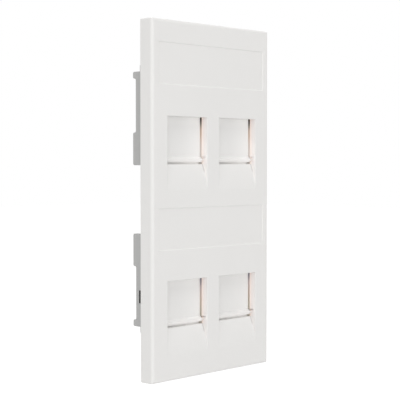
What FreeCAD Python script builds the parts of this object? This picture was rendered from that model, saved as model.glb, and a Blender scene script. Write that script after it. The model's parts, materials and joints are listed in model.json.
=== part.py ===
"""Keystone faceplate with four ports, each behind a sliding dust shutter.

Millimetres, +Z up. The front faces -Y and +X is to the right of someone looking at the front. The origin
is the centre of the rim's rear face, which sits on the wall plate or box that carries the faceplate.
Depths are given as the distance behind the front face, and behind() turns them into Y.
"""
import FreeCAD
import Part
import math
import os

from FreeCAD import Vector

# ---------------------------------------------------------------- plate
plate_width = 52.0
plate_height = 107.6
plate_depth = 5.15
front_wall = 2.4
rim_wall = 1.6
front_round = 1.1
corner_round = 0.5

# ---------------------------------------------------------------- rows and ports
end_margin = 4.7          # the two rows share what is left of the height
side_margin = 6.3         # from the plate's side to the nearest window
port_gap = 5.4            # between two windows
window_top = 0.75         # above the row's centre
window_height = 13.7      # from the closed shutter's foot to the window's top
scoop_gap = 0.6           # between the shutter's foot and the scoop
scoop_height = 8.1
scoop_depth = 1.9
scoop_mid_share = 0.31    # of the scoop's height, where its curve is checked
scoop_mid_depth = 1.04
scoop_wall = 1.2

# ---------------------------------------------------------------- label recesses
label_height = 12.1
label_foot = 10.2         # above the row's centre
label_margin = 2.8
label_depth = 0.2

# ---------------------------------------------------------------- shutters
shutter_side_gap = 0.3
shutter_front_gap = 0.15
shutter_thickness = 2.2
shutter_round = 0.6
shutter_cover = 1.6       # overlap behind the wall above the window
shutter_skin = 1.2
shutter_rim = 1.2
skirt_drop = 1.6          # the skirt hangs this far below the shutter's foot
skirt_clearance = 0.3     # between the skirt and the wall behind the scoop
flange_reach = 1.3
flange_thickness = 0.9
lip_height = 0.95
lip_reach = 1.2
lip_lean = 0.9
lip_nose = 0.15
lip_blend = 0.65
top_clearance = 0.1       # left above the lip when the shutter is fully up

# ---------------------------------------------------------------- guides
guide_clearance = 0.15
guide_wall = 0.8
guide_setback = 0.4       # from the window's edge to the front guide
guide_end = 0.8           # past the flange's highest place
stop_depth = 1.8          # height of the blocks that the flanges stand on
flange_foot_gap = 0.1     # the flanges end this far above the shutter's foot

# ---------------------------------------------------------------- springs
wire_diameter = 0.3
coil_diameter = 2.1
coil_turns = 9
coil_steps = 8            # straight steps in each turn
wire_sides = 4
spring_length = 18.2
spigot_diameter = 1.0
spigot_length = 1.6
stop_rib = 1.2
stop_rib_width = 5.0

# ---------------------------------------------------------------- keystone carriers
web_thickness = 1.2
web_round = 1.0
frame_clearance = 0.2
bay_width = 14.9
bay_height = 16.3
bay_foot = 1.5            # below the shutter's foot
catch_width = 10.0
catch_wall = 1.2
catch_room = 2.2          # above and below the bay, for the jack's lug and latch
lip_thickness = 1.5
lug_catch_depth = 8.2     # behind the web's front face
latch_catch_depth = 9.8
side_wall = 1.2
side_end = 0.6            # past the bay, above and below it
side_wall_depth = 5.5
spring_slot_width = 3.6

# ---------------------------------------------------------------- screws
screw_diameter = 1.9
screw_length = 3.3
head_diameter = 3.8
head_height = 1.3
head_crown = 0.45
driver_slot = 0.6
driver_width = 2.2
driver_depth = 0.7
boss_diameter = 3.8
boss_clearance = 0.05
web_hole_clearance = 0.2
boss_floor = 0.4
corner_screw_inset = 3.8  # from the web's side
corner_screw_z = 18.6     # above the row's centre
foot_screw_z = 18.2       # below the row's centre
screw_edge = 2.6          # from a screw's centre to the web's edge

# ---------------------------------------------------------------- mounting frame
frame_inset = 2.5
frame_end_inset = 2.5
end_bar = 1.9
rail_clearance = 0.15     # between the outer guide walls and the rails
rail_depth = 7.2
wing_drop = 14.3          # the upper wings start this far below the row's centre
block_height = 9.8
waist_height = 16.05
hook_height = 2.05
foot_height = 1.8
wing_depth = 11.0
waist_depth = 9.8
foot_depth = 8.0
wing_round = 0.5
wing_rise = 0.45          # the wings sit this far above the plate's middle
slot_rise = 2.2           # above the row's centre
slot_height = 3.9
slot_depth = 8.5
slot_front = 5.35

# ---------------------------------------------------------------- snap beads
bead_length = 5.0
bead_height = 1.0
bead_grip = 0.3
bead_front = 3.6
pocket_clearance = 0.15
bead_end_inset = 10.0     # from the plate's ends to the last beads on its sides

# ---------------------------------------------------------------- worked out from the sizes above
half_width = plate_width / 2
half_height = plate_height / 2
row_centre = (half_height - end_margin) / 2
rows = {"upper": row_centre, "lower": -row_centre}
window_width = (plate_width - 2 * side_margin - port_gap) / 2
port_centre = (port_gap + window_width) / 2
sides = {"left": -port_centre, "right": port_centre}
shutter_foot = window_top - window_height
shutter_half = window_width / 2 - shutter_side_gap
shutter_face = front_wall + shutter_front_gap
shutter_back = shutter_face + shutter_thickness
shutter_head = window_top + shutter_cover
shutter_travel = window_height - lip_height - lip_blend - top_clearance
flange_half = shutter_half + flange_reach
flange_front = shutter_back - flange_thickness
guide_half = flange_half + guide_clearance
guide_back = shutter_back + guide_clearance
spring_depth = (front_wall + guide_back) / 2
guide_top = shutter_head + shutter_travel + guide_end
scoop_top = shutter_foot - scoop_gap
scoop_foot = scoop_top - scoop_height
spring_top = shutter_head + spring_length
web_back = guide_back + web_thickness
rail_outer = half_width - frame_inset
rail_inner = port_centre + guide_half + guide_wall + rail_clearance
web_half = rail_inner - frame_clearance
corner_screw_x = web_half - corner_screw_inset
web_top = spring_top + stop_rib
web_foot = -foot_screw_z - screw_edge
bay_low = shutter_foot - bay_foot
bay_high = bay_low + bay_height
block_end = row_centre - wing_drop + block_height
hook_start = block_end + waist_height
wing_end = hook_start + hook_height
bead_side_z = (bead_end_inset - half_height, 0.0, half_height - bead_end_inset)
screw_places = ((-corner_screw_x, corner_screw_z), (corner_screw_x, corner_screw_z), (0.0, -foot_screw_z))


def behind(depth):
    """Y of a point this far behind the front face."""
    return depth - plate_depth


def block(x0, x1, depth0, depth1, z0, z1):
    """A box between two X values, two depths and two heights."""
    corner = Vector(min(x0, x1), behind(depth0), z0)
    return Part.makeBox(abs(x1 - x0), depth1 - depth0, z1 - z0, corner)


def side_face(points):
    """A face in the YZ plane from (depth, z) corners."""
    corners = [Vector(0, behind(depth), z) for depth, z in points]
    return Part.Face(Part.makePolygon(corners + corners[:1]))


def across(face, x0, x1):
    """A YZ face swept from x0 to x1."""
    moved = face.copy()
    moved.translate(Vector(x0, 0, 0))
    return moved.extrude(Vector(x1 - x0, 0, 0))


def rod(x, z, diameter, depth0, depth1):
    """A round bar along Y between two depths."""
    return Part.makeCylinder(diameter / 2, depth1 - depth0, Vector(x, behind(depth0), z), Vector(0, 1, 0))


def edges_where(shape, test):
    """The edges whose bounding box passes the test."""
    return [edge for edge in shape.Edges if test(edge.BoundBox)]


def moved(shape, x=0.0, z=0.0):
    """A copy of the shape, shifted to a port or a row."""
    copy = shape.copy()
    copy.translate(Vector(x, 0, z))
    return copy


def fused(first, others):
    """One solid from a shape and what is moulded with it."""
    return first.fuse(list(others)).removeSplitter()


# ---------------------------------------------------------------- face plate

def plate_shell():
    """The skin and rim: a rounded tray that is open at the back."""
    body = block(-half_width, half_width, 0, plate_depth, -half_height, half_height)
    front = behind(0)
    front_loop = edges_where(body, lambda b: abs(b.YMin - front) < 1e-6 and abs(b.YMax - front) < 1e-6)
    rounded = body.makeFillet(front_round, front_loop)
    corners = edges_where(body, lambda b: b.YLength > plate_depth / 2)
    outline = body.makeFillet(corner_round, corners)
    cavity_x = half_width - rim_wall
    cavity_z = half_height - rim_wall
    cavity = block(-cavity_x, cavity_x, front_wall, plate_depth + 1, -cavity_z, cavity_z)
    return rounded.common(outline).cut(cavity)


def label_recess():
    """The shallow field for a stick-on label, with sides that slope out to the front."""
    half = half_width - label_margin + label_depth
    low = label_foot - label_depth
    top = label_foot + label_height + label_depth
    recess = block(-half, half, -label_depth, label_depth, low, top)
    back = recess.BoundBox.YMax
    rim = edges_where(recess, lambda b: abs(b.YMin - back) < 1e-6)
    return recess.makeChamfer(label_depth, rim)


def scoop_curve(offset):
    """The scoop's arc from its top to its foot, moved back by an offset."""
    mid_z = scoop_top - scoop_height * scoop_mid_share
    return Part.Arc(
        Vector(0, behind(scoop_depth + offset), scoop_top),
        Vector(0, behind(scoop_mid_depth + offset), mid_z),
        Vector(0, behind(offset), scoop_foot),
    ).toShape()


def scoop_face(offset, depth_limit):
    """The area between the scoop's arc and a plane at another depth."""
    top = Vector(0, behind(scoop_depth + offset), scoop_top)
    foot = Vector(0, behind(offset), scoop_foot)
    far_top = Vector(0, behind(depth_limit), scoop_top)
    far_foot = Vector(0, behind(depth_limit), scoop_foot)
    lines = [Part.makeLine(foot, far_foot), Part.makeLine(far_foot, far_top), Part.makeLine(far_top, top)]
    return Part.Face(Part.Wire([scoop_curve(offset)] + lines))


def window_cut():
    """The through window and, below it, the finger scoop."""
    half = window_width / 2
    hole = block(-half, half, -1, front_wall + 1, scoop_top, window_top)
    scoop = across(scoop_face(0, -1), -half, half)
    return hole.fuse(scoop)


def scoop_back():
    """The wall behind the scoop, as thick as the mould needs."""
    half = window_width / 2 + scoop_wall / 2
    return across(scoop_face(scoop_wall, 0), -half, half)


def shutter_guide(side):
    """A stepped rail beside a window: the outer wall, the front step and the block under the flange."""
    foot = shutter_foot + flange_foot_gap
    low = foot - stop_depth
    outer = guide_half + guide_wall
    wall = block(side * guide_half, side * outer, front_wall, guide_back, low, guide_top)
    step_in = window_width / 2 + guide_setback
    step_back = flange_front - guide_clearance
    step = block(side * step_in, side * guide_half, front_wall, step_back, low, guide_top)
    stop = block(side * step_in, side * guide_half, front_wall, guide_back, low, foot)
    return [wall, step, stop]


def spring_seat():
    """The rib and spigot that hold the top end of a return spring."""
    half = stop_rib_width / 2
    rib = block(-half, half, front_wall, guide_back, spring_top, spring_top + stop_rib)
    centre = Vector(0, behind(spring_depth), spring_top - spigot_length)
    spigot = Part.makeCylinder(spigot_diameter / 2, spigot_length, centre)
    return [rib, spigot]


def snap_bead():
    """A wedge on the rim's inner face at x = 0 that points to -X and grips the mounting frame."""
    reach = frame_inset - rim_wall + bead_grip
    back = bead_front + bead_height
    corners = [(0, bead_front), (-reach, bead_front), (-reach, bead_front + bead_height / 3), (0, back)]
    points = [Vector(x, behind(depth), -bead_length / 2) for x, depth in corners]
    face = Part.Face(Part.makePolygon(points + points[:1]))
    return face.extrude(Vector(0, 0, bead_length))


def bead_places():
    """Where the beads sit: (turn about Y, x, z) of each one's foot."""
    side = half_width - rim_wall
    end = half_height - rim_wall
    places = [(0, side, z) for z in bead_side_z]
    places += [(180, -side, z) for z in bead_side_z]
    places += [(-90, 0, end), (90, 0, -end)]
    return places


def placed(shape, turn, x, z):
    """A copy turned about the Y axis and moved to its place."""
    copy = shape.copy()
    copy.rotate(Vector(0, 0, 0), Vector(0, 1, 0), turn)
    copy.translate(Vector(x, 0, z))
    return copy


def face_plate():
    plate = plate_shell()
    hole_diameter = screw_diameter + 2 * boss_clearance
    cuts = []
    additions = []
    for row in rows.values():
        plate = plate.cut(moved(label_recess(), z=row))
        for port in sides.values():
            additions.append(moved(scoop_back(), port, row))
            for side in (-1, 1):
                additions += [moved(piece, port, row) for piece in shutter_guide(side)]
            additions += [moved(piece, port, row) for piece in spring_seat()]
            cuts.append(moved(window_cut(), port, row))
        for x, z in screw_places:
            additions.append(rod(x, row + z, boss_diameter, front_wall, guide_back))
            cuts.append(rod(x, row + z, hole_diameter, front_wall + boss_floor, guide_back + 1))
    additions += [placed(snap_bead(), *place) for place in bead_places()]
    plate = fused(plate, additions)
    return plate.cut(cuts).removeSplitter()


# ---------------------------------------------------------------- shutters

def shutter_panel():
    """The panel: a shallow channel with rounded front edges."""
    panel = block(-shutter_half, shutter_half, shutter_face, shutter_back, shutter_foot, shutter_head)
    front = behind(shutter_face)
    upright = edges_where(panel, lambda b: b.ZLength > 1 and abs(b.YMax - front) < 1e-6)
    panel = panel.makeFillet(shutter_round, upright)
    pocket_half = shutter_half - shutter_rim
    skin_back = shutter_face + shutter_skin
    low = shutter_foot + shutter_rim
    high = shutter_head - shutter_rim
    pocket = block(-pocket_half, pocket_half, skin_back, shutter_back + 1, low, high)
    return panel.cut(pocket)


def shutter_skirt():
    """A skirt behind the scoop's wall, so that neither dust nor light gets in under the shutter's foot."""
    skirt_front = scoop_depth + scoop_wall + skirt_clearance
    low = shutter_foot - skirt_drop
    return block(-shutter_half, shutter_half, skirt_front, shutter_back, low, shutter_foot + shutter_rim)


def shutter_lip():
    """The finger lip: a wedge whose nose leans out over the scoop."""
    nose = shutter_face - lip_reach
    top = shutter_foot + lip_height
    points = [
        (shutter_face + shutter_skin / 2, shutter_foot),
        (nose + lip_lean, shutter_foot),
        (nose, top - lip_nose),
        (nose + lip_nose, top),
        (shutter_face, top + lip_blend),
        (shutter_face + shutter_skin / 2, top + lip_blend),
    ]
    return across(side_face(points), -shutter_half, shutter_half)


def shutter():
    flange_low = shutter_foot + flange_foot_gap
    flange_root = shutter_half - shutter_rim / 2
    flanges = [
        block(side * flange_root, side * flange_half, flange_front, shutter_back, flange_low, shutter_head)
        for side in (-1, 1)
    ]
    centre = Vector(0, behind(spring_depth), shutter_head)
    spigot = Part.makeCylinder(spigot_diameter / 2, spigot_length, centre)
    return fused(shutter_panel(), [shutter_skirt(), shutter_lip(), spigot] + flanges)


# ---------------------------------------------------------------- springs

def return_spring():
    """A compression coil between the shutter's head and its seat, bent in short straight steps."""
    radius = (coil_diameter - wire_diameter) / 2
    height = spring_length - wire_diameter
    steps = coil_turns * coil_steps
    path = []
    for step in range(steps + 1):
        angle = 2 * math.pi * step / coil_steps
        path.append(Vector(radius * math.cos(angle), radius * math.sin(angle), height * step / steps))
    first = path[1] - path[0]
    section = Part.makeCircle(wire_diameter / 2, path[0], first)
    corners = section.discretize(wire_sides + 1)
    sweep = Part.BRepOffsetAPI.MakePipeShell(Part.makePolygon(path))
    sweep.setTransitionMode(1)
    sweep.add(Part.makePolygon(corners))
    sweep.build()
    sweep.makeSolid()
    coil = Part.Solid(sweep.shape())
    coil.translate(Vector(0, behind(spring_depth), shutter_head + wire_diameter / 2))
    return coil


# ---------------------------------------------------------------- keystone carriers

def catch_arm(low, high, depth):
    """A flat arm behind the web with a catch at its end, turned towards the bay.

    low is the arm's face on the bay's side, high the far face, and the catch ends one wall past low.
    """
    half = catch_width / 2
    reach = guide_back + depth
    toward_bay = low - math.copysign(catch_room, high - low)
    arm = block(-half, half, guide_back, reach, min(low, high), max(low, high))
    catch = block(-half, half, reach - lip_thickness, reach, min(toward_bay, high), max(toward_bay, high))
    return [arm, catch]


def keystone_seat():
    """Two side walls and two catch arms round one bay."""
    half = bay_width / 2
    low = bay_low - side_end
    high = bay_high + side_end
    walls = [
        block(side * half, side * (half + side_wall), guide_back, guide_back + side_wall_depth, low, high)
        for side in (-1, 1)
    ]
    lug_low = bay_low - catch_room
    latch_high = bay_high + catch_room
    lug_arm = catch_arm(lug_low, lug_low - catch_wall, lug_catch_depth)
    latch_arm = catch_arm(latch_high, latch_high + catch_wall, latch_catch_depth)
    return walls + lug_arm + latch_arm


def keystone_carrier():
    web = block(-web_half, web_half, guide_back, web_back, web_foot, web_top)
    corners = edges_where(web, lambda b: b.YLength > web_thickness / 2)
    web = web.makeFillet(web_round, corners)
    additions = []
    cuts = []
    for port in sides.values():
        additions += [moved(piece, port) for piece in keystone_seat()]
        half = bay_width / 2
        cuts.append(moved(block(-half, half, guide_back - 1, web_back + 1, bay_low, bay_high), port))
        slot = spring_slot_width / 2
        slot_low_z = bay_high + catch_room + 2 * catch_wall
        cuts.append(moved(block(-slot, slot, guide_back - 1, web_back + 1, slot_low_z, spring_top), port))
    for x, z in screw_places:
        hole = screw_diameter + 2 * web_hole_clearance
        cuts.append(rod(x, z, hole, guide_back - 1, web_back + 1))
    return fused(web, additions).cut(cuts).removeSplitter()


# ---------------------------------------------------------------- screws

def carrier_screw(x, z):
    """A small pan-head screw with a cross recess, driven from behind."""
    shank = rod(x, z, screw_diameter, web_back - screw_length, web_back)
    head = rod(x, z, head_diameter, web_back, web_back + head_height)
    top = behind(web_back + head_height)
    rim = edges_where(head, lambda b: abs(b.YMin - top) < 1e-6 and b.XLength > 1)
    head = head.makeChamfer(head_crown, rim)
    low = web_back + head_height - driver_depth
    arms = [
        block(x - a, x + a, low, low + 1 + driver_depth, z - b, z + b)
        for a, b in ((driver_width / 2, driver_slot / 2), (driver_slot / 2, driver_width / 2))
    ]
    return fused(shank, [head]).cut(arms)


def carrier_screws(row):
    return Part.makeCompound([carrier_screw(x, row + z) for x, z in screw_places])


# ---------------------------------------------------------------- mounting frame

def wing():
    """One rear wing in the upper half, from its block to its hook, swept across the rail's width."""
    wing_start = row_centre - wing_drop
    foot_end = wing_end + foot_height
    rail_root = (front_wall + rail_depth) / 2
    points = [
        (rail_root, wing_start),
        (wing_depth, wing_start),
        (wing_depth, block_end),
        (waist_depth, block_end),
        (waist_depth, hook_start),
        (wing_depth, hook_start),
        (wing_depth, wing_end),
        (foot_depth, wing_end),
        (foot_depth, foot_end),
        (rail_root, foot_end),
    ]
    body = across(side_face(points), rail_inner, rail_outer)
    waist = behind(waist_depth) - 1e-6
    corners = edges_where(body, lambda b: b.XLength > 1 and b.YMin > waist and b.ZLength < 1e-6)
    return body.makeFillet(wing_round, corners)


def mounting_frame():
    """The grey ring with four wings, and a slot through two opposite corners of it."""
    outer_z = half_height - frame_end_inset
    inner_z = outer_z - end_bar
    ring = block(-rail_outer, rail_outer, front_wall, rail_depth, -outer_z, outer_z)
    ring = ring.cut(block(-rail_inner, rail_inner, front_wall - 1, rail_depth + 1, -inner_z, inner_z))
    right_top = wing()
    right_foot = right_top.mirror(Vector(0, 0, 0), Vector(0, 0, 1))
    wings = [moved(shape, z=wing_rise) for shape in (right_top, right_foot)]
    wings += [shape.mirror(Vector(0, 0, 0), Vector(1, 0, 0)) for shape in wings]
    frame = fused(ring, wings)
    cuts = []
    slot_low = row_centre + slot_rise
    for turn in (0, 180):
        slot = block(rail_inner - 1, rail_outer + 1, slot_front, slot_depth, slot_low, slot_low + slot_height)
        cuts.append(placed(slot, turn, 0, 0))
    cuts += [placed(bead_pocket(), *place) for place in bead_places()]
    return frame.cut(cuts).removeSplitter()


def bead_pocket():
    """The pocket in the frame's outer face that a snap bead drops into."""
    reach = frame_inset - rim_wall + bead_grip + pocket_clearance
    half = bead_length / 2 + pocket_clearance
    low = bead_front - pocket_clearance
    high = bead_front + bead_height + pocket_clearance
    return block(-reach, 0, low, high, -half, half)


# ---------------------------------------------------------------- all pieces

def build_pieces():
    pieces = {"face_plate": face_plate(), "mounting_frame": mounting_frame()}
    carrier = keystone_carrier()
    one_shutter = shutter()
    one_spring = return_spring()
    for row_name, row in rows.items():
        pieces[row_name + "_keystone_carrier"] = moved(carrier, z=row)
        pieces[row_name + "_carrier_screws"] = carrier_screws(row)
        for side_name, port in sides.items():
            pieces["shutter_" + row_name + "_" + side_name] = moved(one_shutter, port, row)
            pieces["spring_" + row_name + "_" + side_name] = moved(one_spring, port, row)
    return pieces


os.makedirs("parts", exist_ok=True)
for name, shape in build_pieces().items():
    shape.exportStep("parts/" + name + ".step")
    print(name, "solids", len(shape.Solids), "valid", shape.isValid(), "volume", round(shape.Volume, 1))
print("shutter travel", round(shutter_travel, 3), "spring top above the row", round(spring_top, 3))
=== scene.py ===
# %% [markdown]
# # A keystone faceplate with four sliding shutters
# The object is a white moulded plate for four network jacks. Each of its four windows is closed by a small
# shutter that a fingertip lifts. A grey frame is snapped in behind the plate, and two white carriers trap the
# shutters and their return springs.
#
# The solids come from a CAD model that is loaded as a fixed frame. Blender could show them as they are, but
# moulded plastic has no knife edges, and light on the softened edges is what makes it look real. So this
# lesson takes a copy of each solid, softens it, and gives it a finish.

# %% Load the CAD frame
import json
import math

import bmesh
import bpy
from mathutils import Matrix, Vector


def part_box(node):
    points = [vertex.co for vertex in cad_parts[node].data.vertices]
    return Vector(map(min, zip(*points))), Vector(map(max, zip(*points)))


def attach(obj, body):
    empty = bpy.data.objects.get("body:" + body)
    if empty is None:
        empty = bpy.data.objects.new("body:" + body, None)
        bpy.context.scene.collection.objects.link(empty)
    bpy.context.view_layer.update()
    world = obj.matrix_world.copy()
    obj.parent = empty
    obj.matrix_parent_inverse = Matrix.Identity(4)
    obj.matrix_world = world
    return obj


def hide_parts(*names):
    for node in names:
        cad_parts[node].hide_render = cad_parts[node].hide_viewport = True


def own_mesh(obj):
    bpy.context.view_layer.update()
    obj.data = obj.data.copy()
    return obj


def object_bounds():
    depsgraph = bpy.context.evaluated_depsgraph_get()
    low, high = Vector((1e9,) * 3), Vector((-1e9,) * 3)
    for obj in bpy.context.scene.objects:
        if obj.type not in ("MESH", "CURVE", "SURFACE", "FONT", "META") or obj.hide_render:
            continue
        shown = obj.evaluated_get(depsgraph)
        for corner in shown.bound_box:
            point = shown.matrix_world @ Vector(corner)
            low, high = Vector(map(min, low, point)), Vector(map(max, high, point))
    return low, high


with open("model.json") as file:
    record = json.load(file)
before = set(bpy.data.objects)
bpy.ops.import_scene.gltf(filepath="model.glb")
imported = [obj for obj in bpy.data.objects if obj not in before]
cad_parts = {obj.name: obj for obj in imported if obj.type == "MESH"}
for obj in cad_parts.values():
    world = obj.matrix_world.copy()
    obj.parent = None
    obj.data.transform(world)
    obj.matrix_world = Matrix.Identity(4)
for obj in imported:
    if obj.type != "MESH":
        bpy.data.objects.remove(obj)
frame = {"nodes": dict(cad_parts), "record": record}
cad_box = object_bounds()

MM = 0.001
bodies = frame["record"]["behaviour"]["bodies"]
print("bodies:", ", ".join(sorted(bodies)))
print("nodes:", len(frame["nodes"]))

# %% [markdown]
# ## Where things are
# Every place is read from the CAD solids or follows from the few sizes below, which are the same as the
# solids' own. The front of the plate faces -Y, so a depth behind the front face becomes a Y value by adding
# it to the plate's lowest Y.

# %% Sizes that the cells share
plate_low, plate_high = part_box("face_plate")
front = plate_low.y
window_half = 8.5 * MM
port_x = 11.2 * MM
row_z = 24.55 * MM
window_foot = -12.95 * MM     # from the row's centre, as the next three are
window_head = 0.75 * MM
scoop_top = -13.55 * MM
scoop_foot = -21.65 * MM
scoop_depth = 1.9 * MM
scoop_mid_depth = 1.04 * MM   # at scoop_mid_share of the way down
scoop_mid_share = 0.31
front_wall = 2.4 * MM

rows = {"upper": row_z, "lower": -row_z}
sides = {"left": -port_x, "right": port_x}
ports = {(row, side): (rows[row], sides[side]) for row in rows for side in sides}
print("plate", [round(size / MM, 2) for size in plate_high - plate_low], "mm")
print("front at y", round(front / MM, 2), "mm")

# %% [markdown]
# ## Camera
# The plate is seen from its left and from about the height of its middle, through a fairly long lens, so its
# upright edges stay nearly parallel. A short lens would spread them. The camera looks down by about two
# degrees, which needs no lens shift.

# %% Camera
eye = Vector((-254.2, -244.05, 12.0)) * MM
turn_right = math.radians(46.10)
look_down = math.radians(1.98)

lens = bpy.data.cameras.new("studio_camera")
lens.lens = 101.88
lens.sensor_width = 36.0
camera = bpy.data.objects.new("studio_camera", lens)
camera.location = eye
camera.rotation_euler = (math.pi / 2 - look_down, 0.0, -turn_right)
bpy.context.scene.collection.objects.link(camera)
bpy.context.scene.camera = camera
bpy.context.scene.view_settings.view_transform = "Standard"
print("camera", round(eye.length / MM), "mm from the plate's middle")

# %% [markdown]
# ## One way to write nodes
# A finish is a small program made of nodes. Clicking nodes together is quick for one material, but hard to
# read in a script. Here a `Wire` is an output socket that Python's own `+ - * /` work on, and a `Board` makes
# every other kind of node with one method. The same two classes write the Geometry Nodes further down.

# %% Wires and boards
class Wire:
    """An output socket that can be added, taken away, multiplied and divided."""

    def __init__(self, board, socket):
        self.board = board
        self.socket = socket

    def maths(self, operation, first, second):
        return self.board.node("ShaderNodeMath", {"operation": operation}, {0: first, 1: second})

    def __add__(self, other):
        return self.maths("ADD", self, other)

    def __radd__(self, other):
        return self.maths("ADD", other, self)

    def __sub__(self, other):
        return self.maths("SUBTRACT", self, other)

    def __rsub__(self, other):
        return self.maths("SUBTRACT", other, self)

    def __mul__(self, other):
        return self.maths("MULTIPLY", self, other)

    def __rmul__(self, other):
        return self.maths("MULTIPLY", other, self)

    def __truediv__(self, other):
        return self.maths("DIVIDE", self, other)

    def __rtruediv__(self, other):
        return self.maths("DIVIDE", other, self)


class Board:
    """A node tree, and the one method that puts nodes on it."""

    def __init__(self, tree):
        self.tree = tree

    def node(self, kind, settings=None, inputs=None, output=0):
        made = self.tree.nodes.new(kind)
        for name, value in (settings or {}).items():
            if name == "stops":
                stops = made.color_ramp.elements
                while len(stops) < len(value):
                    stops.new(1.0)
                for stop, (place, colour) in zip(stops, value):
                    stop.position = place
                    stop.color = (*colour, 1.0)
            else:
                setattr(made, name, value)
        for name, value in (inputs or {}).items():
            if isinstance(value, Wire):
                self.tree.links.new(value.socket, made.inputs[name])
            else:
                made.inputs[name].default_value = value
        return Wire(self, made.outputs[output]) if len(made.outputs) else made


# %% [markdown]
# ## Plastics
# The plate is ABS with a fine satin skin. Real mouldings are never one flat colour: the melt leaves broad,
# faint clouds, the tool leaves a fine grain, and handling leaves patches that shine a little more.
# An image texture could carry this, but it would need a map and would blur up close. Noise on Object
# coordinates stays sharp at any distance, and stays put when a shutter slides.
#
# White plastic also lets some light through, and thin walls glow a little from behind, in a warmer colour.
# Subsurface scattering is the way to work that out. Here it is only imitated: the faces that should look lit
# carry a number, and the finish turns it into light of its own, as emission, which can be placed by hand.
#
# That is a stand-in, and it has a price. Its amounts were set one test render after another, for one
# studio and one view, and are not worked out from the plastic. They stay the same when the lamps change or a
# shutter slides, so in a dim room these faces would glow. The darker patches below are painted shade, made
# the same way: they would stay dark in any light.

# %% A finish for moulded plastic
def new_board(name):
    material = bpy.data.materials.new(name)
    material.use_nodes = True
    material.node_tree.nodes.clear()
    return material, Board(material.node_tree)


def noise(board, place, size, detail=2.0):
    """Soft noise from 0 to 1 whose blobs are about this many metres across."""
    return board.node("ShaderNodeTexNoise", None, {"Vector": place, "Scale": 1 / size, "Detail": detail})


def mixed(board, share, first, second):
    """Two colours mixed by a share from 0 to 1."""
    return board.node("ShaderNodeMix", {"data_type": "RGBA"}, {0: share, 6: first, 7: second}, 2)


def rgba(colour, factor=1.0):
    return (*[part * factor for part in colour], 1.0)


def surface(board, sockets):
    """The shader itself, wired to the material's output."""
    shader = board.node("ShaderNodeBsdfPrincipled", None, sockets)
    board.node("ShaderNodeOutputMaterial", None, {"Surface": shader})


def ramp(board, value, low, high):
    """0 below the low value and 1 above the high one, with a smooth rise between them."""
    return board.node("ShaderNodeMapRange", {"interpolation_type": "SMOOTHSTEP"}, {0: value, 1: low, 2: high})


def plastic(name, colour, roughness, grain, relief, glow=None, patch=None):
    """Moulded plastic: clouds in the colour, patches in the shine, and a grain of this size and height."""
    material, board = new_board(name)
    place = board.node("ShaderNodeTexCoord", output="Object")
    patches = noise(board, place, 6 * MM, 4.0)
    skin = noise(board, place, grain, 3.0)
    bump = board.node("ShaderNodeBump", None, {"Strength": 0.35, "Distance": relief, "Height": skin})
    clouds = mixed(board, noise(board, place, 22 * MM), rgba(colour, 0.985), rgba(colour, 1.015))
    sockets = {
        # A patch, where given, mixes painted light and shade into the colour.
        "Base Color": mixed(board, *patch(board, place, clouds)) if patch else clouds,
        "Roughness": roughness + (patches - 0.5) * 0.12,
        "IOR": 1.49,
        "Normal": bump,
    }
    # A glow, where given, is painted light, as emission.
    if glow:
        sockets["Emission Color"] = glow(board, place)
        sockets["Emission Strength"] = 1.0
    surface(board, sockets)
    return material


def face_number(board, name):
    return board.node("ShaderNodeAttribute", {"attribute_name": name}, output="Fac")


def parts_of(board, place):
    """The three numbers of a place."""
    return [board.node("ShaderNodeSeparateXYZ", None, {0: place}, axis) for axis in "XYZ"]


def in_port(board, place):
    """How far a place lies across and above the middle of its own port."""
    across, _, height = parts_of(board, place)
    across = across - across.maths("SIGN", across, 0.0) * port_x
    return across, height - height.maths("SIGN", height, 0.0) * row_z


def between(board, value, rise, fall):
    """1 between two fades and 0 beyond them. Each fade is a (start, end) pair in millimetres."""
    return ramp(board, value, *[at * MM for at in rise]) * (1 - ramp(board, value, *[at * MM for at in fall]))


def upper_row(board, height):
    """1 in the upper row and 0 in the lower one."""
    return ramp(board, height, -5.0 * MM, 5.0 * MM)


def banded(board, value, low, high, bands):
    """A colour that changes with a value, from stops at (value, colour)."""
    stops = [((at - low) / (high - low), colour) for at, colour in bands]
    share = board.node("ShaderNodeMapRange", None, {0: value, 1: low, 2: high})
    return board.node("ShaderNodeValToRGB", {"stops": stops}, {0: share})


def added(board, first, second):
    """Two colours added together."""
    settings = {"data_type": "RGBA", "blend_type": "ADD"}
    return board.node("ShaderNodeMix", settings, {0: 1.0, 6: first, 7: second}, 2)


def guide_painted_light_and_shade(board, place, clouds):
    """Painted light and shade: the guides' walls are tinted yellower as painted warm light and get painted
    shade towards the upper end, and a line of painted shade lies in the right-hand corner of each scoop, just
    below the lip."""
    across, height = in_port(board, place)
    # Painted shade: a dark line in each scoop's right-hand corner, below the lip.
    line = between(board, across, (7.8, 8.2), (8.47, 8.49))
    line = line * between(board, height, (-16.4, -15.4), (-13.2, -12.9)) * CORNER_DARKNESS
    clouds = mixed(board, line, clouds, SHADE)
    # Painted shade on the guides' walls, darker towards the upper end, over a yellower tint that is painted
    # warm light.
    depth_of_shade = ramp(board, height, window_head - 4 * MM, window_head) * GUIDE_DARKNESS
    return face_number(board, "guide_wall"), clouds, mixed(board, depth_of_shade, GUIDE_PAINTED_WARM_LIGHT, SHADE)


def slot_painted_shade(board, place, clouds):
    """The rear walls of the frame's slots, given painted shade: darker than the lamps alone leave them."""
    # Painted shade on the slots' rear walls.
    return face_number(board, "slot"), clouds, SLOT_PAINTED_SHADE


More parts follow.
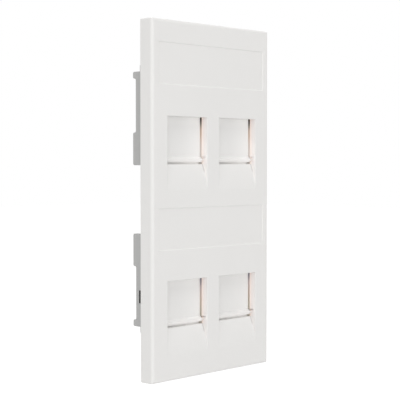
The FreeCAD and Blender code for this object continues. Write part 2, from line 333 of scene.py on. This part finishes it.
def wall_painted_light(board, place):
    """Painted warm light, as emission, in the windows' right-hand walls and in the gaps beside the shutters.
    The upper windows' walls have a little more low down, and every window's wall a little more at its lip."""
    _, depth, height = parts_of(board, place)
    # Painted light, as emission, by depth in the walls and by height in the guides.
    skin = banded(board, depth - front, 0.0, front_wall, PAINTED_WALL_LIGHT)
    gap = banded(board, height, -row_z + window_foot, row_z + window_head, PAINTED_GAP_LIGHT)
    both = mixed(board, face_number(board, "guide_wall"), BLACK, gap)
    both = added(board, both, mixed(board, face_number(board, "thin_wall"), BLACK, skin))
    lift = in_port(board, place)[1]
    low = between(board, lift, (-20.8, -19.0), (-8.5, -5.0)) * upper_row(board, height) * LOW_GLOW
    lip = between(board, lift, (-12.8, -11.7), (-11.2, -10.3)) * LIP_GLOW
    near = ramp(board, face_number(board, "thin_wall"), 0.1, 0.4) * (low + lip)
    return added(board, both, mixed(board, near, BLACK, (1.0, 0.96, 0.93, 1.0)))


def shutter_painted_light(board, place):
    """Painted light, as emission, in the lip's underside, under the window's head and at the right-hand end.
    """
    across, height = in_port(board, place)
    row_height = parts_of(board, place)[2]
    head = ramp(board, height, window_head - 3.4 * MM, window_head - 0.6 * MM) * HEAD_GLOW
    head = head * (1 - ramp(board, across, 6.4 * MM, 7.8 * MM))
    end = ramp(board, across, -2.0 * MM, 7.5 * MM) * (0.035 + upper_row(board, row_height) * 0.03)
    upper = mixed(board, head + end, BLACK, (1.0, 0.985, 0.97, 1.0))
    under = 0.65 + ramp(board, across, -6.2 * MM, -5.2 * MM) * 0.35
    under = under * (1 - ramp(board, across, 7.1 * MM, 7.7 * MM))
    low = face_number(board, "underside") * under * UNDERSIDE_GLOW
    low = low + face_number(board, "skirt") * ramp(board, across, -6.0 * MM, 3.0 * MM) * SKIRT_GLOW
    return added(board, upper, mixed(board, low, BLACK, (1.0, 0.96, 0.92, 1.0)))


# Painted light, set for one view like every amount here: emission by depth in the walls, by height in the
# guides.
PAINTED_WALL_LIGHT = [
    (0.0, (0.01, 0.005, 0.005)), (0.5 * MM, (0.04, 0.02, 0.015)), (1.2 * MM, (0.06, 0.015, 0.01)),
    (1.6 * MM, (0.06, 0.02, 0.005)), (2.05 * MM, (0.165, 0.07, 0.03)), (front_wall, (0.18, 0.08, 0.035)),
]
PAINTED_GAP_LIGHT = [
    (-34.0 * MM, (0.0, 0.0, 0.0)), (-31.0 * MM, (0.03, 0.0, 0.0)), (-27.5 * MM, (0.05, 0.02, 0.05)),
    (-24.0 * MM, (0.12, 0.13, 0.16)), (12.2 * MM, (0.0, 0.01, 0.035)), (13.0 * MM, (0.10, 0.09, 0.12)),
    (15.2 * MM, (0.10, 0.09, 0.12)), (17.7 * MM, (0.10, 0.07, 0.09)),
    (20.1 * MM, (0.07, 0.015, 0.0)), (22.0 * MM, (0.045, 0.0, 0.0)), (23.0 * MM, (0.0, 0.0, 0.0)),
]
# The shade colour and the darkness amounts below are painted shade, the glow amounts painted light as
# emission, and the guides' yellow is painted warm light.
BLACK = (0.0, 0.0, 0.0, 1.0)
SHADE = (0.10, 0.085, 0.075, 1.0)
GUIDE_PAINTED_WARM_LIGHT = (0.86, 0.81, 0.70, 1.0)
CORNER_DARKNESS = 0.26
GUIDE_DARKNESS = 0.95
LOW_GLOW = 0.05
LIP_GLOW = 0.10
HEAD_GLOW = 0.045
UNDERSIDE_GLOW = 0.11
SKIRT_GLOW = 0.13
SLOT_PAINTED_SHADE = (0.07, 0.07, 0.07, 1.0)
WHITE_ABS = (0.86, 0.853, 0.842)
# The plate's white carries painted light and shade, the shutters' white painted light, and the frame's grey
# painted shade in its slots.
white = plastic("white_plastic_satin", WHITE_ABS, 0.42, 0.30 * MM, 0.004 * MM, wall_painted_light, guide_painted_light_and_shade)
shutter_white = plastic("white_shutter_satin", WHITE_ABS, 0.36, 0.22 * MM, 0.003 * MM, shutter_painted_light)
carrier_white = plastic("white_carrier_plain", (0.83, 0.825, 0.81), 0.48, 0.40 * MM, 0.006 * MM)
frame_grey = plastic("grey_frame_matt", (0.497, 0.499, 0.495), 0.55, 0.45 * MM, 0.008 * MM, patch=slot_painted_shade)
print("plastics:", *[made.name for made in (white, shutter_white, carrier_white, frame_grey)])

# %% [markdown]
# ## Metals
# The carriers' screws are zinc plated and the springs are drawn wire. Metal takes all its colour from what it
# reflects, so its finish is mostly roughness: streaks round the turned head, and streaks along the wire.

# %% Finishes for zinc and spring wire
def metal(name, colour, roughness, streak):
    """Bright metal with fine streaks that are this many metres across."""
    material, board = new_board(name)
    place = board.node("ShaderNodeTexCoord", output="Object")
    streaks = noise(board, place, streak, 4.0)
    stains = noise(board, place, 1.5 * MM)
    bump = board.node("ShaderNodeBump", None, {"Strength": 0.25, "Distance": 0.003 * MM, "Height": streaks})
    surface(board, {
        "Base Color": mixed(board, stains, rgba(colour, 0.9), rgba(colour, 1.06)),
        "Metallic": 1.0,
        "Roughness": roughness + streaks * 0.18,
        "Normal": bump,
    })
    return material


zinc = metal("zinc_plate", (0.66, 0.665, 0.66), 0.22, 0.12 * MM)
spring_wire = metal("drawn_wire", (0.52, 0.515, 0.50), 0.26, 0.05 * MM)
print("metals:", zinc.name, spring_wire.name)

# %% [markdown]
# ## Softened copies
# A CAD solid arrives as loose triangles. A copy is first welded. Then every sharp edge gets a small round.
# A Bevel modifier could do the same, but working on the mesh lets each piece choose its edges, and the result
# can be measured at once.
#
# A bevel slides its new corners along the edges that it finds in a face, so long thin triangles spoil it.
# Each flat face is therefore cut into rectangles by lines through its own corners before it is bevelled.
# The face-weighted normals then keep the flat faces flat, so only the rounds catch the light.

# %% Helpers for softened copies
WELD = 0.0001 * MM
FLAT = math.radians(0.5)
SHARP = math.radians(30)
CRISP = math.radians(40)
CORNER_RUN = 0.9 * MM         # shorter edges belong to curves, and give no line


def flat_groups(solid, axis):
    """The faces square to an axis, sorted by the way they face and how far along they lie."""
    groups = {}
    for face in solid.faces:
        if abs(face.normal[axis]) > 0.99999:
            place = round(face.verts[0].co[axis] / MM, 3)
            groups.setdefault((face.normal[axis] > 0, place), []).append(face)
    return groups.values()


def corner_lines(faces, axis):
    """The lines through the corners of a flat face, as (axis, place) pairs."""
    lines = set()
    for face in faces:
        for edge in face.edges:
            if edge.calc_length() > CORNER_RUN and edge.calc_face_angle() > SHARP:
                for vert in edge.verts:
                    lines.update((way, round(vert.co[way] / MM, 3)) for way in range(3) if way != axis)
    return sorted(lines)


def cut_along(solid, faces, way, place):
    """Cuts these faces where they cross a plane, and marks the cut so that it stays."""
    unit = Vector([float(way == axis) for axis in range(3)])
    edges = {edge for face in faces for edge in face.edges}
    verts = {vert for face in faces for vert in face.verts}
    cut = bmesh.ops.bisect_plane(
        solid, geom=[*faces, *edges, *verts], dist=0.002 * MM, plane_co=unit * place * MM, plane_no=unit,
    )
    for part in cut["geom_cut"]:
        if isinstance(part, bmesh.types.BMEdge):
            part.seam = True
    return [part for part in cut["geom"] if isinstance(part, bmesh.types.BMFace)]


def welded(node):
    """A copy of a CAD node's solid, with its flat faces in rectangles."""
    solid = bmesh.new()
    solid.from_mesh(frame["nodes"][node].data)
    bmesh.ops.remove_doubles(solid, verts=solid.verts, dist=WELD)
    for axis in range(3):
        for faces in flat_groups(solid, axis):
            for way, place in corner_lines(faces, axis):
                faces = cut_along(solid, faces, way, place)
    bmesh.ops.dissolve_limit(
        solid, angle_limit=FLAT, verts=solid.verts, edges=solid.edges, delimit={"SEAM"},
    )
    return solid


def anywhere(place):
    return True


def soften(solid, radius, steps=2, where=anywhere, inside=True):
    """Rounds the sharp edges whose two ends are where they should be, and returns how many there were.
    With inside=False the inner corners are left sharp."""
    sharp = [
        edge for edge in solid.edges
        if edge.calc_face_angle() > SHARP and all(where(vert.co) for vert in edge.verts)
        and (inside or edge.is_convex)
    ]
    bmesh.ops.bevel(
        solid, geom=sharp, offset=radius, offset_type="OFFSET", segments=steps, profile=0.5,
        affect="EDGES", clamp_overlap=False,
    )
    return len(sharp)


def piece(name, solid, material):
    """A finished object from a mesh in work: smooth, with the corners that were left sharp."""
    for edge in solid.edges:
        edge.smooth = edge.calc_face_angle(0.0) < CRISP
    mesh = bpy.data.meshes.new(name)
    solid.to_mesh(mesh)
    solid.free()
    if "custom_normal" in mesh.attributes:
        mesh.attributes.remove(mesh.attributes["custom_normal"])
    mesh.shade_smooth()
    mesh.materials.append(material)
    made = bpy.data.objects.new(name, mesh)
    bpy.context.scene.collection.objects.link(made)
    weights = made.modifiers.new("face_weighted_normals", "WEIGHTED_NORMAL")
    weights.mode = "FACE_AREA"
    weights.weight = 80
    weights.keep_sharp = True
    return made


def stand_in(made, node, body):
    """Puts the piece in the place of its CAD node."""
    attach(made, body)
    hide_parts(node)
    print(made.name, "for", node, "-", len(made.data.polygons), "faces")


# %% [markdown]
# ## Face plate
# The plate is one moulding: a rounded tray with two label fields, four windows, and a curved finger scoop
# under each window. The CAD mesh has only a few facets on a scoop. Smooth shading alone would hide that from
# the front but not at the scoop's sides, so the scoop's edges are divided and the new points are put on the
# true arc. The arc is the circle through three known points.

# %% The scoop's arc
def circle_through(first, middle, last):
    """Centre and radius of the circle through three (depth, height) points."""
    (ax, ay), (bx, by), (cx, cy) = first, middle, last
    d = 2 * (ax * (by - cy) + bx * (cy - ay) + cx * (ay - by))
    a, b, c = ax * ax + ay * ay, bx * bx + by * by, cx * cx + cy * cy
    x = (a * (by - cy) + b * (cy - ay) + c * (ay - by)) / d
    y = (a * (cx - bx) + b * (ax - cx) + c * (bx - ax)) / d
    return x, y, math.hypot(ax - x, ay - y)


scoop_mid_z = scoop_top + (scoop_foot - scoop_top) * scoop_mid_share
arc_depth, arc_z, arc_radius = circle_through(
    (scoop_depth, scoop_top), (scoop_mid_depth, scoop_mid_z), (0.0, scoop_foot)
)
arc_side = math.copysign(1.0, scoop_depth - arc_depth)
print("scoop arc radius", round(arc_radius / MM, 2), "mm")
print("its centre is", round(arc_depth / MM, 2), "mm behind the face")


def scoop_surface(height):
    """The scoop's depth behind the front face at a height above the row's centre."""
    return arc_depth + arc_side * math.sqrt(arc_radius ** 2 - (height - arc_z) ** 2)


# %% The face plate
def smooth_scoops(solid, parts=6):
    """Divides the scoops' sides and puts the new points on the arc."""
    near = 0.03 * MM

    def on_arc(vert, row, port):
        height = vert.co.z - row
        beside = abs(abs(vert.co.x - port) - window_half) < near
        inside = scoop_foot - near < height < scoop_top + near
        return beside and inside and abs(vert.co.y - front - scoop_surface(height)) < near

    found = []
    for row, port in ports.values():
        for edge in solid.edges:
            ends = edge.verts
            upright = abs(ends[0].co.x - ends[1].co.x) < near
            if upright and all(on_arc(vert, row, port) for vert in ends):
                found.append((edge, row))
    for row in set(row for _, row in found):
        edges = [edge for edge, its_row in found if its_row == row]
        divided = bmesh.ops.subdivide_edges(solid, edges=edges, cuts=parts - 1, use_grid_fill=True)
        for vert in [part for part in divided["geom_inner"] if isinstance(part, bmesh.types.BMVert)]:
            vert.co.y = front + scoop_surface(vert.co.z - row)
    return len(found)


def mark_thin_walls(solid):
    """Numbers the walls right of the windows and beside the shutters, which get painted light; the guides'
    walls also get painted shade.
    """
    thin = solid.faces.layers.float.new("thin_wall")
    guide = solid.faces.layers.float.new("guide_wall")
    for face in solid.faces:
        middle = face.calc_center_median()
        depth = middle.y - front
        for row, port in ports.values():
            beside = middle.x - port - window_half
            height = middle.z - row
            if face.normal.x < -0.9 and abs(beside) < 0.05 * MM and depth < front_wall:
                if scoop_foot < height < window_head:
                    face[thin] = 1.0 if height > window_foot else 0.5
            within = window_foot - 1 * MM < height < window_head + 1 * MM
            if face.normal.x < -0.9 and 0.1 * MM < beside < 0.7 * MM and depth > front_wall and within:
                face[guide] = 1.0


def plate_edges(place):
    """The plate's front and its rear rim. The guides inside stay crisp: nobody sees or touches them."""
    hair = 0.01 * MM
    in_rim = abs(place.x) > 24 * MM or abs(place.z) > 52 * MM
    return place.y - front < front_wall - hair or in_rim and abs(place.y) < hair


plate = welded("face_plate")
print("scoop sides divided:", smooth_scoops(plate))
print("edges softened:", soften(plate, 0.16 * MM, 3, plate_edges, inside=False))
mark_thin_walls(plate)
stand_in(piece("face_plate_moulding", plate, white), "face_plate", "plate")

# %% [markdown]
# ## Shutters
# The four shutters are the same moulding, and each rides on its own body, so each needs its own mesh.

# %% Shutters
def mark_undersides(solid):
    """Numbers the faces round the lip's foot that face down, and the skirt behind them, which get painted
    light.
    """
    under = solid.faces.layers.float.new("underside")
    skirt = solid.faces.layers.float.new("skirt")
    foot = min(vert.co.z for vert in solid.verts)
    for face in solid.faces:
        middle = face.calc_center_median()
        if middle.z < foot + 3.2 * MM and face.normal.z < 0.3 and face.normal.y < 0.1:
            face[skirt if middle.y - front > 3.0 * MM else under] = 1.0


for row, side in ports:
    name = f"shutter_{row}_{side}"
    solid = welded(name)
    soften(solid, 0.10 * MM, 3)
    mark_undersides(solid)
    stand_in(piece(name + "_moulding", solid, shutter_white), name, name)

# %% [markdown]
# ## Frame and carriers
# These are seen from the sides and from behind, and are plainer mouldings. The frame's outer corners are
# rounded as much as the plate's, and the carriers' a little less.

# %% Mounting frame
def mark_slots(solid):
    """Numbers the rear walls of the wings' snap slots, which look forwards from well behind the plate and get
    painted shade.
    """
    layer = solid.faces.layers.float.new("slot")
    for face in solid.faces:
        depth = face.calc_center_median().y - front
        if face.normal.y < -0.9 and 8.3 * MM < depth < 8.7 * MM:
            face[layer] = 1.0


solid = welded("mounting_frame")
mark_slots(solid)
soften(solid, 0.16 * MM, 3)
stand_in(piece("mounting_frame_moulding", solid, frame_grey), "mounting_frame", "plate")

# %% Keystone carriers
for row in rows:
    name = f"{row}_keystone_carrier"
    solid = welded(name)
    soften(solid, 0.12 * MM, 2)
    stand_in(piece(name + "_moulding", solid, carrier_white), name, "plate")

# %% [markdown]
# ## Trees that follow a rule
# A coil of wire and a screw's thread are one short profile carried along a path that a rule gives. They could
# be spun step by step in mesh code, but Geometry Nodes say the rule itself, and its sizes stay named inputs
# that can be changed in the modifier. Each tree ends in plain geometry with its material, because an instance
# or a live modifier wouldn't be carried over to another program.

# %% Trees and their inputs
KINDS = {"VALUE": "NodeSocketFloat", "INT": "NodeSocketInt", "OBJECT": "NodeSocketObject",
         "GEOMETRY": "NodeSocketGeometry", "MATERIAL": "NodeSocketMaterial"}


class Tree(Board):
    """A board for geometry, with its inputs by name."""

    def __init__(self, name, **inputs):
        super().__init__(bpy.data.node_groups.new(name, "GeometryNodeTree"))
        for label, kind in {"geometry": "GEOMETRY", **inputs}.items():
            self.tree.interface.new_socket(name=label, in_out="INPUT", socket_type=KINDS[kind])
        self.tree.interface.new_socket(name="geometry", in_out="OUTPUT", socket_type=KINDS["GEOMETRY"])
        self.entry = self.tree.nodes.new("NodeGroupInput")

    def __getitem__(self, label):
        return Wire(self, self.entry.outputs[label])

    def joined(self, *wires):
        made = self.tree.nodes.new("GeometryNodeJoinGeometry")
        for wire in wires:
            self.tree.links.new(wire.socket, made.inputs[0])
        return Wire(self, made.outputs[0])

    def end(self, wire):
        """Makes instances real, gives them their material, and closes the tree."""
        real = self.node("GeometryNodeRealizeInstances", None, {0: wire})
        dressed = self.node("GeometryNodeSetMaterial", None, {0: real, "Material": self["material"]})
        self.node("NodeGroupOutput", None, {0: dressed})


def grown(name, tree, start, **values):
    """The plain solid that a tree makes from a starting mesh and these values."""
    start.materials.append(values["material"])
    seed = bpy.data.objects.new(name, start)
    bpy.context.scene.collection.objects.link(seed)
    modifier = seed.modifiers.new("tree", "NODES")
    modifier.node_group = tree.tree
    for item in tree.tree.interface.items_tree:
        if item.in_out == "INPUT" and item.name in values:
            modifier[item.identifier] = values[item.name]
    mesh = bpy.data.meshes.new_from_object(seed.evaluated_get(bpy.context.evaluated_depsgraph_get()))
    bpy.data.objects.remove(seed)
    solid = bmesh.new()
    solid.from_mesh(mesh)
    return solid


# %% [markdown]
# ## Return springs
# Each shutter is pressed shut by a compression spring of 0.3 mm wire, which stands in the guide above it.
# Real ones have a closed turn at each end, so that they stand flat on their seats, and an even pitch between.
# The tree starts with a flat spiral and lifts each point by its turn number. When a shutter opens, its spring
# can't move as a rigid piece: the real one is squashed towards its upper seat, turn on turn. Here each spring
# stays with the plate and gets a mesh of its own.

# %% Return springs
wire_diameter = 0.3 * MM
coil_diameter = 2.1 * MM
spring_length = 18.2 * MM
spring_foot = 2.35 * MM       # above the row's centre, and the spring's place behind the front
spring_depth = 3.65 * MM

coil = Tree("return_spring", wire="VALUE", radius="VALUE", length="VALUE", turns="VALUE", material="MATERIAL")
flat_path = coil.node("GeometryNodeCurveSpiral", None, {
    "Resolution": 20, "Rotations": coil["turns"], "Start Radius": coil["radius"],
    "End Radius": coil["radius"], "Height": 0.0,
})
turn = coil.node("GeometryNodeSplineParameter") * coil["turns"]


def rise(first, last, height):
    """Climbs by this height between two turns of the coil."""
    return coil.node("ShaderNodeMapRange", None, {0: turn, 1: first, 2: last, 3: 0.0, 4: height})


last_turn = coil["turns"] - 1.0
open_length = coil["length"] - coil["wire"] * 3.0
lift = rise(0.0, 1.0, coil["wire"]) + rise(1.0, last_turn, open_length)
lift = lift + rise(last_turn, coil["turns"], coil["wire"]) + coil["wire"] * 0.5
offset = coil.node("ShaderNodeCombineXYZ", None, {"Z": lift})
path = coil.node("GeometryNodeSetPosition", None, {0: flat_path, "Offset": offset})
section = coil.node("GeometryNodeCurvePrimitiveCircle", None, {"Resolution": 8, "Radius": coil["wire"] * 0.5})
coil.end(coil.node("GeometryNodeCurveToMesh", None, {0: path, 1: section, "Fill Caps": True}))

for (row, side), (row_place, port) in ports.items():
    solid = grown(
        "coil", coil, bpy.data.meshes.new("empty"), wire=wire_diameter, turns=12.0, length=spring_length,
        radius=(coil_diameter - wire_diameter) / 2, material=spring_wire,
    )
    foot = Vector((port, front + spring_depth, row_place + spring_foot))
    bmesh.ops.translate(solid, verts=solid.verts, vec=foot)
    spring = piece(f"spring_{row}_{side}_coil", solid, spring_wire)
    stand_in(spring, f"spring_{row}_{side}", "plate")
    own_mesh(spring)

# %% [markdown]
# ## Carrier screws
# Three small pan-head screws hold each carrier. The head is turned, so it is a profile spun round an axis.
# Its cross recess is punched, which is a cut with a tapered cross. The thread is rolled: a small triangle
# carried up a spiral. The tree puts one finished screw on each of three points.

# %% A turned head and a cross punch
screw_head = 3.8 * MM
screw_head_height = 1.3 * MM
screw_crown = 0.45 * MM
screw_thread = 1.9 * MM
screw_core = 1.5 * MM
screw_length = 3.3 * MM
recess_span = 2.2 * MM
recess_width = 0.6 * MM
recess_depth = 0.7 * MM


def turned_screw(steps=28):
    """The head with its crown, and the plain core with its point, spun round Z."""
    edge = screw_head / 2
    rim = screw_head_height - screw_crown
    crown = [(edge * math.cos(bend), rim + screw_crown * math.sin(bend)) for bend in
             [math.radians(angle) for angle in (18, 36, 54, 72)]]
    outline = [
        (0.0, -screw_length), (screw_core * 0.2, -screw_length), (screw_core / 2, -screw_length + 0.7 * MM),
        (screw_core / 2, -0.1 * MM), (screw_core / 2 + 0.1 * MM, 0.0), (edge - 0.08 * MM, 0.0),
        (edge, 0.08 * MM), (edge, rim), *crown, (0.0, screw_head_height),
    ]
    solid = bmesh.new()
    verts = [solid.verts.new((away, 0.0, height)) for away, height in outline]
    edges = [solid.edges.new(pair) for pair in zip(verts, verts[1:])]
    bmesh.ops.spin(
        solid, geom=[*verts, *edges], axis=(0, 0, 1), cent=(0, 0, 0), angle=2 * math.pi, steps=steps,
    )
    bmesh.ops.remove_doubles(solid, verts=solid.verts, dist=0.001 * MM)
    bmesh.ops.recalc_face_normals(solid, faces=solid.faces)
    return solid


def cross_punch():
    """A cross that narrows downwards, standing in the head's top."""
    arm, half = recess_span / 2, recess_width / 2
    corner = [(half, half), (half, arm), (-half, arm), (-half, half)]
    outline = list(corner)
    for _ in range(3):
        corner = [(-y, x) for x, y in corner]
        outline += corner[1:]
    solid = bmesh.new()
    rings = []
    for height, size in ((screw_head_height - recess_depth, 0.55), (screw_head_height + 0.1 * MM, 1.0)):
        rings.append([solid.verts.new((x * size, y * size, height)) for x, y in outline[:12]])
    low, high = rings
    solid.faces.new(reversed(low))
    solid.faces.new(high)
    for place in range(12):
        after = (place + 1) % 12
        solid.faces.new((low[place], low[after], high[after], high[place]))
    bmesh.ops.recalc_face_normals(solid, faces=solid.faces)
    return solid


# %% Carrier screws
screws = Tree(
    "carrier_screws", head="OBJECT", punch="OBJECT", core="VALUE", crest="VALUE", length="VALUE",
    pitch="VALUE", material="MATERIAL",
)
blank = screws.node("GeometryNodeObjectInfo", None, {0: screws["head"]}, "Geometry")
punch = screws.node("GeometryNodeObjectInfo", None, {0: screws["punch"]}, "Geometry")
punched = screws.node("GeometryNodeMeshBoolean", {"operation": "DIFFERENCE"}, {0: blank, 1: punch})
winding = screws.node("GeometryNodeCurveSpiral", None, {
    "Resolution": 16, "Rotations": screws["length"] / screws["pitch"], "Start Radius": screws["core"],
    "End Radius": screws["core"], "Height": screws["length"],
})
ridge = screws.node("GeometryNodeCurvePrimitiveCircle", None, {
    "Resolution": 3, "Radius": screws["crest"] - screws["core"],
})
thread = screws.node("GeometryNodeCurveToMesh", None, {0: winding, 1: ridge, "Fill Caps": True})
low = screws.node("ShaderNodeCombineXYZ", None, {"Z": screws["length"] * -1.15})
lowered = screws.node("GeometryNodeTransform", None, {0: thread, "Translation": low})
screws.end(screws.node("GeometryNodeInstanceOnPoints", None, {
    "Points": screws["geometry"], "Instance": screws.joined(punched, lowered),
    "Rotation": (-math.pi / 2, 0.0, 0.0),
}))

corner_screw_x = 17.8 * MM
corner_screw_z = 18.6 * MM
foot_screw_z = -18.2 * MM
screw_seat = front + 6.1 * MM
screw_places = ((-corner_screw_x, corner_screw_z), (corner_screw_x, corner_screw_z), (0.0, foot_screw_z))
helpers = {
    "head": piece("screw_blank", turned_screw(), zinc),
    "punch": piece("cross_punch", cross_punch(), zinc),
}

for row in rows:
    dots = bpy.data.meshes.new("places")
    dots.from_pydata([(x, screw_seat, rows[row] + z) for x, z in screw_places], [], [])
    solid = grown(
        "screws", screws, dots, core=screw_core / 2, crest=screw_thread / 2, length=2.5 * MM, pitch=0.6 * MM,
        material=zinc, **helpers,
    )
    stand_in(piece(f"{row}_screws", solid, zinc), f"{row}_carrier_screws", "plate")

for helper in helpers.values():
    bpy.data.objects.remove(helper)

# %% [markdown]
# ## Studio
# White plastic is shown by soft light from all round and three broad lamps: one from the left, one from above
# and a weaker one from behind. A single hard lamp would model the windows more strongly but would leave half
# of the plate grey. The world is plain white to the camera and to reflections, and dimmer as a lamp.

# %% World
world = bpy.data.worlds.new("studio_world")
world.use_nodes = True
world.node_tree.nodes.clear()
bpy.context.scene.world = world
sky = Board(world.node_tree)


def direct_look(board):
    """1 for what the camera sees, straight, by a reflection or through glass, and 0 for the light itself."""
    seen = board.node("ShaderNodeLightPath", output="Is Camera Ray")
    glossy = board.node("ShaderNodeLightPath", output="Is Glossy Ray")
    through = board.node("ShaderNodeLightPath", output="Is Transmission Ray")
    return seen.maths("MAXIMUM", seen, seen.maths("MAXIMUM", glossy, through))


ambient = sky.node("ShaderNodeBackground", None, {"Color": (1.0, 0.995, 0.985, 1.0), "Strength": 0.605})
backdrop = sky.node("ShaderNodeBackground", None, {"Color": (1.0, 1.0, 1.0, 1.0), "Strength": 1.0})
blend = sky.node("ShaderNodeMixShader", None, {0: direct_look(sky), 1: ambient, 2: backdrop})
sky.node("ShaderNodeOutputWorld", None, {"Surface": blend})
print("world", world.name)

# %% Lamps
def soft_lamp(name, place, size, power):
    """A square soft box that is aimed at the middle of the plate."""
    light = bpy.data.lights.new(name, "AREA")
    light.shape = "SQUARE"
    light.size = size
    light.energy = power
    lamp = bpy.data.objects.new(name, light)
    lamp.location = place
    lamp.rotation_euler = (-Vector(place)).to_track_quat("-Z", "Y").to_euler()
    bpy.context.scene.collection.objects.link(lamp)
    print(name, round(Vector(place).length, 2), "m away,", power, "W")


soft_lamp("key_soft_box", (-0.80, -0.78, 0.40), 1.4, 4.7)
soft_lamp("top_soft_box", (-0.2, -0.4, 1.0), 0.6, 2.4)
soft_lamp("rear_soft_box", (0.7, 0.9, 0.5), 1.0, 2.0)

# %% Floor
def pale_floor():
    """A pale floor that stays white to the camera where no shadow falls on it."""
    material, board = new_board("studio_floor")
    paper = board.node("ShaderNodeBsdfDiffuse", None, {"Color": (0.9, 0.9, 0.9, 1.0)})
    lift = board.node("ShaderNodeEmission", None, {"Strength": direct_look(board) * 0.53})
    both = board.node("ShaderNodeAddShader", None, {0: paper, 1: lift})
    board.node("ShaderNodeOutputMaterial", None, {"Surface": both})
    return material


floor_drop = 250 * MM
half = 6.0                    # metres, so that its edge is far outside the view
ground = bmesh.new()
level = cad_box[0][2] - floor_drop
corners = [ground.verts.new((x * half, y * half, level)) for x, y in ((-1, -1), (1, -1), (1, 1), (-1, 1))]
ground.faces.new(corners)
floor = piece("studio_floor", ground, pale_floor())
